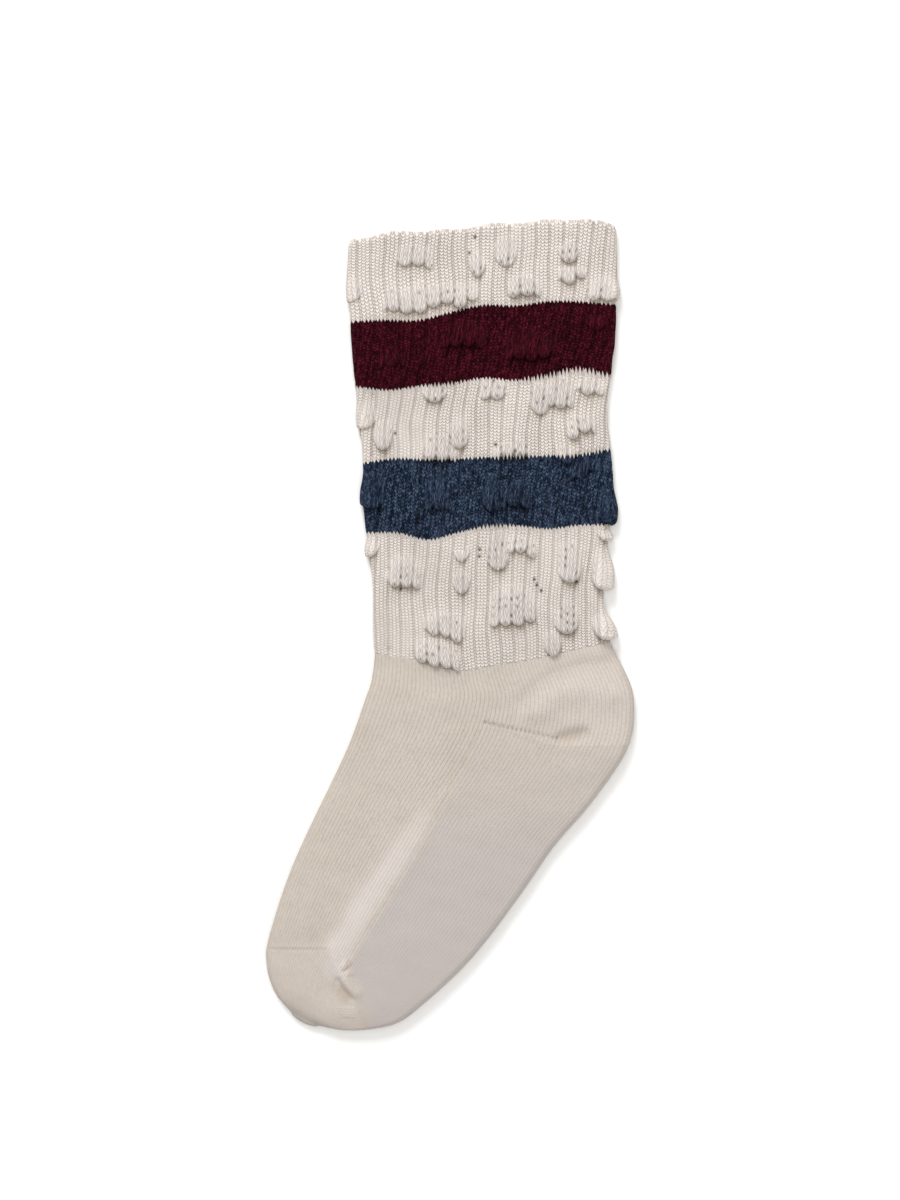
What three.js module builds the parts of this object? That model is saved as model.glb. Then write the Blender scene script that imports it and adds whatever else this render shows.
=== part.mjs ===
// A heavy knitted boot sock that lies flat on its side, seen from above as it is shown for sale.
// The leg is a 3 by 1 rib with knitted puffs standing out of it and two contrast bands. The foot is
// plain knit on the instep and looped cushioning on the sole, with a heel pocket and a closed toe.
// Millimetres. +X points to the back of the leg, +Y up the leg, +Z up from the surface it lies on.
// Each node is a flattened tube: an outer wall that follows the sections below, and a plain inside.

import * as THREE from "three";

// Knit gauge and cloth thickness
const RIBS_AROUND = 38; // 3 by 1 ribs, of which half lie on the side that shows
const RIB_RELIEF = 0.9; // how far a rib stands over the groove beside it
const RIB_SHOULDER = 0.28; // share of a rib's width from its groove to where it is full height
const PANEL_GAP = 0.7; // slit between the panels, which lie on each other
const PANEL_CROWN = 0.35; // share of the crown that the upper panel's inside has
const SEAM_GAP = 0.3; // space between the ends of two neighbouring tubes
const LEAN = 0.35; // how far a puff slumps down the leg for each millimetre that it stands out
const RIM_ROUND = 2.5; // length over which the welt at the mouth rolls in
const RIM_DROP = 0.8; // how much lower the welt's edge is

// Mesh steps
const RING_STEP = 4.2; // between outer rings
const INNER_STEP = 13; // between inner rings
const FOOT_TOP_STEPS = 25; // steps over the flat of the foot's upper side
const UNDER_STEPS = 6; // steps over the flat of the underside, which is plain and rests
const LINING_STEPS = 14; // steps over each side of the plain inside
const PARTS_PER_ROW = 40; // parts in which the tube's length is measured

// Flat sections of the tube, from the mouth to the toe. left and right are the two folds seen from
// above, fold is the thickness at the folds, crown is what the middle stands above them, and wave is
// how far the course runs above the straight line from fold to fold, at each eighth of the way.
// On the leg, groove is where one groove of the rib crosses the section, and pitch the rib's width.
const FLAT = [0, 0, 0, 0, 0, 0, 0];
const SECTIONS = [
  { name: "rim", left: [-43.5, 168.5], right: [72.5, 175.5], fold: 5.3, crown: 0.3, groove: -28.2, pitch: 6.05, wave: [2.2, 2.5, 2.1, 3.3, 3.5, 3.7, 3.4] },
  { name: "cuff", left: [-44.4, 153], right: [72.8, 158], fold: 5.3, crown: 0.5, groove: -28.8, pitch: 6.02, wave: [0.8, 0.5, 1, 2.5, 2.5, 2.8, 2.2] },
  { name: "redTop", left: [-43, 133], right: [72.4, 140.5], fold: 5.3, crown: 0.6, groove: -27.5, pitch: 5.83, wave: [-0.3, -1.3, 1.2, 3.4, 2.3, 3.2, 2.1] },
  { name: "redMiddle", left: [-42.3, 119], right: [71.8, 124.5], fold: 5.3, crown: 0.6, groove: -28.8, pitch: 5.72, wave: [-1, -1.2, 0.3, 2.2, 1, 2, 2.8] },
  { name: "redEnd", left: [-40.8, 104.5], right: [70, 109.5], fold: 5.3, crown: 0.6, groove: -31.5, pitch: 5.67, wave: [-2.1, -0.9, -0.4, 1.2, -0.3, 1.1, 3.4] },
  { name: "calf", left: [-39.3, 88.5], right: [68.3, 93], fold: 5.3, crown: 0.6, groove: -33.7, pitch: 5.64, wave: [-0.4, -0.5, -0.5, 0.3, -0.7, 0, 1] },
  { name: "blueTop", left: [-37.5, 71], right: [70, 77], fold: 5.3, crown: 0.6, groove: -34.5, pitch: 5.68, wave: [1.2, 0, -0.5, -0.5, -1.1, -1.3, -1.6] },
  { name: "blueMiddle", left: [-37.5, 55], right: [71, 60], fold: 5.3, crown: 0.6, groove: -36.1, pitch: 5.61, wave: [0.5, -2, -0.8, 0.4, 0, -1.1, -0.7] },
  { name: "blueEnd", left: [-36, 40.5], right: [69.5, 44], fold: 5.3, crown: 0.6, groove: -37.3, pitch: 5.56, wave: [-0.5, -3.9, -1.2, 1.2, 0.9, -0.9, 0.2] },
  { name: "shin", left: [-33.5, 21], right: [67.5, 24], fold: 5.3, crown: 0.6, groove: -38.4, pitch: 5.5, wave: [-0.8, -3.5, -3, -1.5, -1, -1.5, -0.5] },
  { name: "lowRib", left: [-33, 3.5], right: [67, 8], fold: 5.4, crown: 0.8, groove: -38, pitch: 5.41, wave: [-1.5, -5, -5.5, -4, -3.5, -2.5, -1] },
  { name: "ankle", left: [-33, -12.5], right: [70.5, -7.5], fold: 5.8, crown: 1, groove: -37.5, pitch: 5.41, wave: [-2.3, -7.3, -9.4, -7.8, -6.5, -4.5, -2] },
  { name: "heelTop", left: [-34.5, -24.5], right: [79.3, -26], fold: 6.6, crown: 1.5, wave: [-1.5, -4, -5, -4.5, -3.5, -2.5, -1] },
  { name: "heelBack", left: [-37, -32], right: [80.9, -38.5], fold: 6.8, crown: 1.6, wave: [-1, -2, -2.5, -2, -1.5, -1, -0.5] },
  { name: "heelUnder", left: [-39.2, -38.5], right: [79.3, -50.5], fold: 6.8, crown: 1.6, wave: FLAT },
  { name: "heelEnd", left: [-41.3, -44.5], right: [73.3, -62.5], fold: 6.8, crown: 1.6, wave: FLAT },
  { name: "arch", left: [-45, -54], right: [60.3, -80.3], fold: 6.8, crown: 1.5, wave: FLAT },
  { name: "middle", left: [-51, -67], right: [45.6, -97.3], fold: 6.8, crown: 1.4, wave: FLAT },
  { name: "instep", left: [-59.5, -84.5], right: [30.6, -118.9], fold: 6.8, crown: 1.4, wave: FLAT },
  { name: "ball", left: [-68, -103], right: [15.6, -139], fold: 6.8, crown: 1.4, wave: FLAT },
  { name: "toeBase", left: [-74.5, -120.5], right: [4.1, -152], fold: 6.8, crown: 1.4, wave: FLAT },
  { name: "toeSeam", left: [-80.2, -140], right: [-11.4, -166.2], fold: 6.6, crown: 1.4, wave: FLAT },
  { name: "toeBox", left: [-80.6, -148], right: [-22.3, -174.4], fold: 6.4, crown: 1.3, wave: FLAT },
  { name: "toeRound", left: [-79.2, -155.5], right: [-34, -177.4], fold: 6, crown: 1.1, wave: FLAT },
  { name: "toeNose", left: [-75.8, -163], right: [-46.5, -178], fold: 5.2, crown: 0.7, wave: FLAT },
  { name: "toeTip", left: [-69.5, -170.3], right: [-58, -176], fold: 3.4, crown: 0, wave: FLAT },
];

// Knitted puffs of the leg: x is the middle, top where the puff starts to leave the rib, lip the
// lower edge that it hangs over, and lift how far the lip stands out. slant is how much lower
// the lip's right end is than its left, or higher where it is negative.
const PUFFS = [
  { x: -15.5, top: 169, lip: 157, width: 15, lift: 1.8, slant: 0 },
  { x: -8.5, top: 152, lip: 138.5, width: 41, lift: 3, slant: -5 },
  { x: 12, top: 165, lip: 152.5, width: 5.5, lift: 2, slant: 0 },
  { x: 24.5, top: 172, lip: 157, width: 8, lift: 1.6, slant: 0 },
  { x: 32.5, top: 156, lip: 142.5, width: 13, lift: 2.8, slant: -1 },
  { x: 52, top: 171, lip: 158.5, width: 7, lift: 2.6, slant: 0 },
  { x: 53.5, top: 158.5, lip: 150.5, width: 11, lift: 2.4, slant: 0 },
  { x: 67.5, top: 155, lip: 143, width: 13, lift: 2.4, slant: 0 },
  { x: -43.5, top: 156, lip: 141.5, width: 8, lift: 1.3, slant: 0 },
  { x: 6, top: 136, lip: 121.5, width: 18, lift: 1.6, slant: -2 },
  { x: 35.5, top: 131, lip: 116.5, width: 20, lift: 1.6, slant: 0 },
  { x: 64, top: 139, lip: 129, width: 8, lift: 1.4, slant: 0 },
  { x: -25.5, top: 122, lip: 113, width: 10, lift: 0.9, slant: 0 },
  { x: -7, top: 106, lip: 97.5, width: 9, lift: 2.6, slant: 0 },
  { x: 19, top: 112, lip: 99.5, width: 10, lift: 2, slant: 0 },
  { x: 47.5, top: 112.5, lip: 96, width: 12, lift: 2.2, slant: 0 },
  { x: 61.5, top: 111, lip: 101, width: 11, lift: 2, slant: 0 },
  { x: -38, top: 101, lip: 86, width: 9, lift: 1.6, slant: 0 },
  { x: -29.5, top: 92, lip: 75, width: 7, lift: 3, slant: 0 },
  { x: -4.5, top: 84, lip: 71.5, width: 12, lift: 2.8, slant: 0 },
  { x: 4, top: 90, lip: 76, width: 6, lift: 2.4, slant: 0 },
  { x: 39.5, top: 108, lip: 92, width: 7, lift: 1.8, slant: 0 },
  { x: 57.5, top: 93, lip: 82.5, width: 11, lift: 2.8, slant: -1.5 },
  { x: 51, top: 81, lip: 70.5, width: 7, lift: 2.6, slant: 0 },
  { x: 27, top: 82, lip: 73, width: 15, lift: 2, slant: 0 },
  { x: -34, top: 70, lip: 51, width: 9, lift: 1.5, slant: 0 },
  { x: -5.5, top: 67.5, lip: 49.5, width: 10, lift: 1.4, slant: 0 },
  { x: 18.5, top: 67, lip: 49.5, width: 7, lift: 1.8, slant: 0 },
  { x: 29, top: 63, lip: 50.5, width: 11, lift: 2, slant: 0 },
  { x: 58.5, top: 75, lip: 65.5, width: 12, lift: 1.8, slant: -3 },
  { x: 70.5, top: 62, lip: 44, width: 9, lift: 3.2, slant: 0 },
  { x: 69, top: 43, lip: 36.5, width: 8, lift: 2.4, slant: 0 },
  { x: -35.5, top: 39, lip: 29.5, width: 7, lift: 2.2, slant: 0 },
  { x: -20, top: 31.5, lip: 16.5, width: 12.5, lift: 3, slant: 0 },
  { x: 5, top: 35, lip: 27.5, width: 6, lift: 1.6, slant: 0 },
  { x: 5, top: 26, lip: 13.5, width: 6, lift: 2, slant: 0 },
  { x: -2.5, top: 9.5, lip: -5, width: 16, lift: 2.6, slant: 5 },
  { x: -5.5, top: -4, lip: -19, width: 18, lift: 3, slant: 5 },
  { x: 21, top: 44, lip: 24, width: 8, lift: 2.8, slant: 0 },
  { x: 31.5, top: 41, lip: 30.5, width: 11, lift: 2.6, slant: 0 },
  { x: 52.5, top: 40, lip: 18.5, width: 8.5, lift: 2.8, slant: 0 },
  { x: 27.5, top: 20.5, lip: 0, width: 20, lift: 2.6, slant: 0 },
  { x: 51, top: 11.5, lip: -4, width: 9, lift: 2.8, slant: 0 },
  { x: 45, top: 0.5, lip: -14, width: 6, lift: 2.4, slant: 0 },
  { x: 67.5, top: 38, lip: 15, width: 9, lift: 4.6, slant: 0 },
  { x: 68, top: 9, lip: -6.5, width: 9, lift: 4.6, slant: 0 },
];

// Soft folds of the foot and heel as straight stretches: where each starts and ends, half its width,
// and how far it stands up, or sinks where it is negative.
const FOLDS = [
  { name: "cushion ridge", from: [-6, -72], to: [-46, -140], half: 6, lift: 0.8 },
  { name: "cushion step", from: [13.2, -46.6], to: [-42.2, -143.4], half: 2.6, lift: -0.4 },
  { name: "heel gore", from: [15.6, -42.7], to: [47, -49.2], half: 2, lift: -0.5 },
  { name: "heel hollow", from: [49, -49.8], to: [58, -47.6], half: 3, lift: -2 },
  { name: "heel pouch", from: [44, -32], to: [70, -29], half: 7, lift: 2.2 },
  { name: "ankle trough", from: [36, -27], to: [68, -16], half: 3.6, lift: -1.3 },
  { name: "shin trough", from: [-26, -17], to: [6, -27], half: 4.5, lift: -0.7 },
  { name: "toe lump", from: [-53, -140.5], to: [-49, -153], half: 2.8, lift: 1.3 },
  { name: "toe bump", from: [-47, -154], to: [-42.5, -160], half: 3.5, lift: 1.1 },
  { name: "toe pucker", from: [-50.5, -155], to: [-42.5, -164], half: 1.9, lift: -1.4 },
];

// The tubes, from the mouth to the toe, each from one section to another
const TUBES = [
  { name: "cuff", from: "rim", to: "redTop", color: "#e9e2d6", ribbed: true },
  { name: "burgundy_band", from: "redTop", to: "redEnd", color: "#5c1526", ribbed: true },
  { name: "calf", from: "redEnd", to: "blueTop", color: "#e9e2d6", ribbed: true },
  { name: "blue_band", from: "blueTop", to: "blueEnd", color: "#2e4460", ribbed: true },
  { name: "shin", from: "blueEnd", to: "ankle", color: "#e9e2d6", ribbed: true },
  { name: "foot", from: "ankle", to: "toeTip", color: "#dcd3c6", ribbed: false },
];
const WAVE_STATIONS = 8;
const ANKLE = SECTIONS.findIndex((row) => row.name === "ankle");
const INNER_END = SECTIONS.findIndex((row) => row.name === "toeNose");

const clamp01 = (value) => Math.min(1, Math.max(0, value));
const smooth = (share) => clamp01(share) ** 2 * (3 - 2 * clamp01(share));

// The smooth curve through a row of evenly spaced numbers
function along(values, at) {
  const last = values.length - 1;
  const i = Math.min(last - 1, Math.max(0, Math.floor(at)));
  const t = at - i;
  const [a, b] = [values[i], values[i + 1]];
  const before = i > 0 ? values[i - 1] : 2 * a - b;
  const after = i + 1 < last ? values[i + 2] : 2 * b - a;
  const [slopeIn, slopeOut] = [(b - before) / 2, (after - a) / 2];
  const bend = 3 * (b - a) - 2 * slopeIn - slopeOut;
  return a + t * (slopeIn + t * (bend + t * (slopeIn + slopeOut - 2 * (b - a))));
}

// One flat section at any place between the rows of the table
function sectionAt(place) {
  const column = (read) => along(SECTIONS.map(read), place);
  const left = new THREE.Vector2(column((row) => row.left[0]), column((row) => row.left[1]));
  const right = new THREE.Vector2(column((row) => row.right[0]), column((row) => row.right[1]));
  const across = right.clone().sub(left);
  const width = across.length();
  across.normalize();
  const fold = column((row) => row.fold);
  const quarter = (fold * Math.PI) / 4;
  return {
    place,
    left,
    across,
    up: new THREE.Vector2(-across.y, across.x),
    width,
    fold,
    flat: width - fold,
    quarter,
    run: width - fold + 2 * quarter,
    crown: column((row) => row.crown),
    groove: column((row) => row.groove ?? SECTIONS[ANKLE].groove),
    pitch: column((row) => row.pitch ?? SECTIONS[ANKLE].pitch),
    wave: [0, ...FLAT.map((_, i) => column((row) => row.wave[i])), 0],
  };
}

// Where a point at distance a from the left fold lies in plan, on the section's own wavy course
function planPoint(section, a) {
  const rise = along(section.wave, clamp01(a / section.width) * WAVE_STATIONS);
  return section.left.clone().addScaledVector(section.across, a).addScaledVector(section.up, rise);
}

// A point of a flattened ring. share runs from the left fold (0) to the right fold (1) over the top or
// the underside. Gives the distance from the left fold, the height, and the way out of the cloth.
function ringPoint(section, share, under, inset, crownShare) {
  const turnAt = (run) => run / (section.fold / 2);
  const run = share * section.run;
  const radius = section.fold / 2 - inset;
  const side = under ? -1 : 1;
  let point;
  if (run < section.quarter) {
    const turn = turnAt(run);
    point = { a: -radius * Math.cos(turn), z: radius * Math.sin(turn), out: [-Math.cos(turn), Math.sin(turn)] };
  } else if (run < section.quarter + section.flat) {
    point = { a: run - section.quarter, z: radius, out: [0, 1] };
  } else {
    const turn = turnAt(run - section.quarter - section.flat);
    point = { a: section.flat + radius * Math.sin(turn), z: radius * Math.cos(turn), out: [Math.sin(turn), Math.cos(turn)] };
  }
  const a = point.a + section.fold / 2;
  const dome = 1 - (2 * clamp01(a / section.width) - 1) ** 4;
  const bulge = under ? 0 : crownShare * section.crown * dome * clamp01(point.z / radius);
  return { a, z: section.fold / 2 + side * point.z + bulge, out: [point.out[0], side * point.out[1]] };
}

// Ribs are counted from the marked groove, along the cloth. The count at a share of the way across:
const overFold = (section) => section.quarter - section.fold / 2;
const ribCount = (section, share) =>
  (section.left.x + (share * section.run - overFold(section)) * section.across.x - section.groove) / section.pitch;
const shareOfRib = (section, count) =>
  ((section.groove + count * section.pitch - section.left.x) / section.across.x + overFold(section)) / section.run;

// How far a rib stands out, from its groove to its full height
function ribRelief(count) {
  const inRib = count - Math.floor(count);
  return RIB_RELIEF * smooth(Math.min(inRib, 1 - inRib) / RIB_SHOULDER);
}

// How far the strongest puff at a point in plan stands out
function puffRelief(at) {
  let highest = 0;
  for (const puff of PUFFS) {
    const across = (at.x - puff.x) / (puff.width / 2);
    const lip = puff.lip - (puff.slant * across) / 2;
    const down = (puff.top - at.y) / (puff.top - lip);
    if (Math.abs(across) < 1 && down > 0 && down < 1) {
      highest = Math.max(highest, puff.lift * Math.sqrt(1 - across ** 4) * down * Math.sqrt(1 - down ** 6));
    }
  }
  return highest;
}

// How far the folds of the foot raise or sink a point in plan
function foldRelief(at) {
  let sum = 0;
  for (const fold of FOLDS) {
    const start = new THREE.Vector2(...fold.from);
    const line = new THREE.Vector2(...fold.to).sub(start);
    const share = clamp01(at.clone().sub(start).dot(line) / line.lengthSq());
    const off = at.distanceTo(start.addScaledVector(line, share)) / fold.half;
    sum += fold.lift * Math.exp(-off * off);
  }
  return sum;
}

// An outer point of the wall. What is raised stands out of the top, fades round the folds and leaves
// the underside plain.
function outerPoint(section, share, under, ribbed) {
  const ring = ringPoint(section, share, under, 0, 1);
  const plan = planPoint(section, ring.a);
  const fade = under ? 1 - smooth((Math.min(share, 1 - share) * section.run) / section.quarter) : 1;
  const fromRim = (section.place * (SECTIONS[0].left[1] - SECTIONS[1].left[1])) / RIM_ROUND;
  const rim = ribbed ? Math.sqrt(1 - (1 - clamp01(fromRim)) ** 2) : 1;
  const puff = ribbed ? puffRelief(plan) * fade : 0;
  const fold = ribbed || under ? 0 : foldRelief(plan) * clamp01(ring.out[1]);
  const raised = ribbed ? rim * ribRelief(ribCount(section, share)) * fade + puff : fold;
  const sunk = under ? 0 : RIM_DROP * (1 - rim) * clamp01(ring.out[1]);
  plan.addScaledVector(section.across, ring.out[0] * raised).addScaledVector(section.up, -LEAN * puff);
  return new THREE.Vector3(plan.x, plan.y, Math.max(0, ring.z + ring.out[1] * raised - sunk));
}

// A point of the plain inside: the slit between the two panels
function innerPoint(section, share, under) {
  const ring = ringPoint(section, share, under, (section.fold - PANEL_GAP) / 2, PANEL_CROWN);
  const plan = planPoint(section, ring.a);
  return new THREE.Vector3(plan.x, plan.y, ring.z);
}

const evenShares = (steps) => Array.from({ length: steps + 1 }, (_, i) => i / steps);

// Shares of the way across with a step in the middle of each rounded fold, and even ones between
function roundedShares(section, steps) {
  const flat = evenShares(steps).map((share) => (section.quarter + share * section.flat) / section.run);
  const half = section.quarter / 2 / section.run;
  return [0, half, ...flat, 1 - half, 1];
}

// Shares with a step at each rib's groove and at both of its shoulders
function ribShares(section) {
  const margin = (RIB_SHOULDER * section.pitch) / 2 / section.run;
  const shares = [];
  for (let rib = -RIBS_AROUND; rib < RIBS_AROUND; rib += 1) {
    for (const step of [0, RIB_SHOULDER, 1 - RIB_SHOULDER]) shares.push(shareOfRib(section, rib + step));
  }
  return [0, ...shares.filter((share) => share > margin && share < 1 - margin), 1];
}

// A closed loop of points, over the top from left to right and back along the underside. at orders
// them for stitching: by rib on the leg, so that a rib stays one rib from ring to ring.
function loop(section, pointAt, topShares, underShares, ribbed) {
  const order = (share) => (ribbed ? 0.5 + ribCount(section, share) / (3 * RIBS_AROUND) : share);
  const over = topShares.map((share) => ({ at: order(share), point: pointAt(share, false) }));
  const back = underShares.slice(1, -1).map((share) => ({ at: 2 - share, point: pointAt(share, true) }));
  return [...over, ...back.reverse()];
}

// Evenly spaced places along the tube, about step apart
function placesAlong(from, to, step) {
  const middle = (place) => {
    const section = sectionAt(place);
    return planPoint(section, section.width / 2);
  };
  const places = evenShares(PARTS_PER_ROW).map((share) => from + share * (to - from));
  const points = places.map(middle);
  const length = points.slice(1).reduce((sum, point, i) => sum + point.distanceTo(points[i]), 0);
  const count = Math.max(2, Math.round(length / step));
  return evenShares(count).map((share) => from + share * (to - from));
}

// Triangles between two loops, going round both at once. The loops may have unlike point counts.
function stitch(triangles, first, second) {
  let i = 0;
  let j = 0;
  while (i < first.length || j < second.length) {
    const nextFirst = i + 1 < first.length ? first[i + 1].at : 2;
    const nextSecond = j + 1 < second.length ? second[j + 1].at : 2;
    const a = first[i % first.length].point;
    const b = second[j % second.length].point;
    if (j >= second.length || (i < first.length && nextFirst <= nextSecond)) {
      triangles.push([a, b, first[(i + 1) % first.length].point]);
      i += 1;
    } else {
      triangles.push([a, b, second[(j + 1) % second.length].point]);
      j += 1;
    }
  }
}

// A fan that closes a loop
function close(triangles, ring, facingToe) {
  const centre = new THREE.Vector3();
  ring.forEach(({ point }) => centre.addScaledVector(point, 1 / ring.length));
  ring.forEach(({ point }, i) => {
    const next = ring[(i + 1) % ring.length].point;
    triangles.push(facingToe ? [next, point, centre] : [point, next, centre]);
  });
}

function geometryFrom(triangles) {
  const positions = triangles.flatMap((corners) => corners.flatMap((point) => point.toArray()));
  const geometry = new THREE.BufferGeometry();
  geometry.setAttribute("position", new THREE.Float32BufferAttribute(positions, 3));
  geometry.computeVertexNormals();
  return geometry;
}

// The cloth of one tube: outer rings, inner rings and the cut ends between them
function tubeGeometry({ from: fromName, to: toName, ribbed }) {
  const [from, to] = [fromName, toName].map((name) => SECTIONS.findIndex((row) => row.name === name));
  const rowLength = (place) => planPoint(sectionAt(place), 0).distanceTo(planPoint(sectionAt(place + 1), 0));
  const start = from === 0 ? from : from + SEAM_GAP / 2 / rowLength(from);
  const end = ribbed ? to - SEAM_GAP / 2 / rowLength(to - 1) : to;
  const outer = placesAlong(start, end, RING_STEP).map((place) => {
    const section = sectionAt(place);
    const point = (share, under) => outerPoint(section, share, under, ribbed);
    const topShares = ribbed ? ribShares(section) : roundedShares(section, FOOT_TOP_STEPS);
    return loop(section, point, topShares, roundedShares(section, UNDER_STEPS), ribbed);
  });
  const inner = placesAlong(start, ribbed ? end : INNER_END, INNER_STEP).map((place) => {
    const section = sectionAt(place);
    const point = (share, under) => innerPoint(section, share, under);
    return loop(section, point, evenShares(LINING_STEPS), evenShares(LINING_STEPS), false);
  });
  const triangles = [];
  outer.slice(1).forEach((ring, i) => stitch(triangles, outer[i], ring));
  inner.slice(1).forEach((ring, i) => stitch(triangles, ring, inner[i]));
  stitch(triangles, inner[0], outer[0]);
  if (ribbed) {
    stitch(triangles, outer.at(-1), inner.at(-1));
  } else {
    close(triangles, outer.at(-1), true);
    close(triangles, inner.at(-1), false);
  }
  return geometryFrom(triangles);
}

const sock = new THREE.Group();
for (const tube of TUBES) {
  const material = new THREE.MeshStandardMaterial({ color: tube.color, roughness: 0.95, metalness: 0 });
  const mesh = new THREE.Mesh(tubeGeometry(tube), material);
  mesh.name = tube.name;
  sock.add(mesh);
}

// The origin is the middle of the sock's outline, on the surface it lies on
const outline = new THREE.Box3().setFromObject(sock);
const centre = outline.getCenter(new THREE.Vector3());
sock.position.set(-centre.x, -centre.y, 0);
sock.updateMatrixWorld(true);

export default sock;
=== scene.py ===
"""A heavy knitted boot sock that lies flat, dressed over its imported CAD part.

The sock is knitted as one tube, so every visible piece here is a stretch of that tube: a mesh whose columns
follow the wales of the knit and whose rows follow its courses. Ribs, puffs, creases and stitches are
displacement of that mesh, and the yarn is a procedural material on the same wale and course coordinates.
Sizes are in millimetres in the tables and in metres in Blender.
"""

import logging
import math
from dataclasses import dataclass, field
from enum import Enum

import bpy
import numpy as np
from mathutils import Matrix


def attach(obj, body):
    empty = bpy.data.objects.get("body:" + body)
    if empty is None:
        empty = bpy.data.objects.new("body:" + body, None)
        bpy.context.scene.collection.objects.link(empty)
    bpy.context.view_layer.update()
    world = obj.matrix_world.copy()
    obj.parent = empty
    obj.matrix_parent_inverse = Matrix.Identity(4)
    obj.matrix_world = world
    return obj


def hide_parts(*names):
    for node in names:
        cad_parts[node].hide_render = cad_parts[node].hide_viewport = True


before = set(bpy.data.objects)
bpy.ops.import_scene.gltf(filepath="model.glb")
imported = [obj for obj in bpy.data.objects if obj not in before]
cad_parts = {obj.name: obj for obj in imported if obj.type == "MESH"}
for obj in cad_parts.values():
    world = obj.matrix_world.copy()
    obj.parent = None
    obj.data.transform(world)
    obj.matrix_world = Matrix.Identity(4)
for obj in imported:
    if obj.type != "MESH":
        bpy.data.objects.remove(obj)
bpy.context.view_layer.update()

LOG = logging.getLogger("sock")
MM = 0.001
ORIGIN = (0.033, 0.011)  # middle of the sock's outline in the tables' own plan coordinates
SEED = 11


# Sizes


@dataclass(frozen=True)
class Gauge:
    """The knit's real sizes, in millimetres.

    Args:
        ribs_around: 3 by 1 ribs in the whole tube.
        wales: needles in one rib, the sunk one included.
        course: height of one course on the leg.
        relief: how far a rib stands over its groove.
        shoulder: share of a rib from its groove to full height.
        sunk: share of a rib that its sunk wale takes.
        foot_wales: wales over the visible side of the foot.
        foot_course: height of one course on the foot.
        loop: height of a pulled stitch in a puff.
    """

    ribs_around: int = 38
    wales: int = 4
    course: float = 1.4
    relief: float = 0.5
    shoulder: float = 0.14
    sunk: float = 0.14
    foot_wales: int = 66
    foot_course: float = 1.25
    loop: float = 3.4


@dataclass(frozen=True)
class Stitch:
    """One kind of V stitch.

    Args:
        size: its courses for one course of the rib.
        lean: how many of its courses a leg climbs.
        sharp: how narrow the gap between two courses is.
    """

    size: float
    lean: float
    sharp: float


TIGHT = Stitch(size=1.0, lean=0.52, sharp=2.2)
LOOSE = Stitch(size=0.42, lean=1.0, sharp=2.0)
OUT_OF_LINE = 0.28  # how far one wale's courses lie out of line with the next, in courses
WALE_TURN = 2.4  # step from wale to wale of the wave that puts them out of line


@dataclass(frozen=True)
class Cloth:
    """How thick the cloth is and how finely its surface is divided, in millimetres.

    Args:
        slit: space between the two panels.
        inner_crown: share of the crown on the panel's inside.
        leg_row: distance between rows on the leg.
        foot_row: distance between rows on the foot.
        fine: columns per face wale where the ribs show.
        coarse: columns per rib on the underside.
    """

    slit: float = 0.7
    inner_crown: float = 0.35
    leg_row: float = 0.37
    foot_row: float = 0.6
    fine: int = 6
    coarse: int = 4


@dataclass(frozen=True)
class PuffShape:
    """How puffs swell and hang, in millimetres and shares.

    Args:
        pod: puffs narrower than this hang as one pod, not in lobes.
        pod_rise: how far a pod's sides rise over its lowest point.
        scallop: how far the lip rises between two lobes.
        ragged: how unevenly the lobes hang.
        ragged_top: how unevenly the top starts.
        raise_lip: share of the lift by which the lip rides up.
        margin: how far the swelling runs past the width on each side.
        roundness: exponent of the sides' outline.
        bow: share of the height by which the top bows down at the sides.
        turn_in: height over which the lip turns in.
        slump: share of the lift by which the cloth slumps down the leg.
        pitch: mean width of a rib, for the small holes.
        pin: half width and half length of a small hole.
    """

    pod: float = 9.5
    pod_rise: float = 2.2
    scallop: float = 1.3
    ragged: float = 1.5
    ragged_top: float = 2.0
    raise_lip: float = 0.3
    margin: float = 1.2
    roundness: float = 2.6
    bow: float = 0.3
    turn_in: float = 1.7
    slump: float = 0.35
    pitch: float = 5.7
    pin: tuple = (0.45, 0.7)


PUFF = PuffShape()

FLAT = (0, 0, 0, 0, 0, 0, 0)
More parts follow.
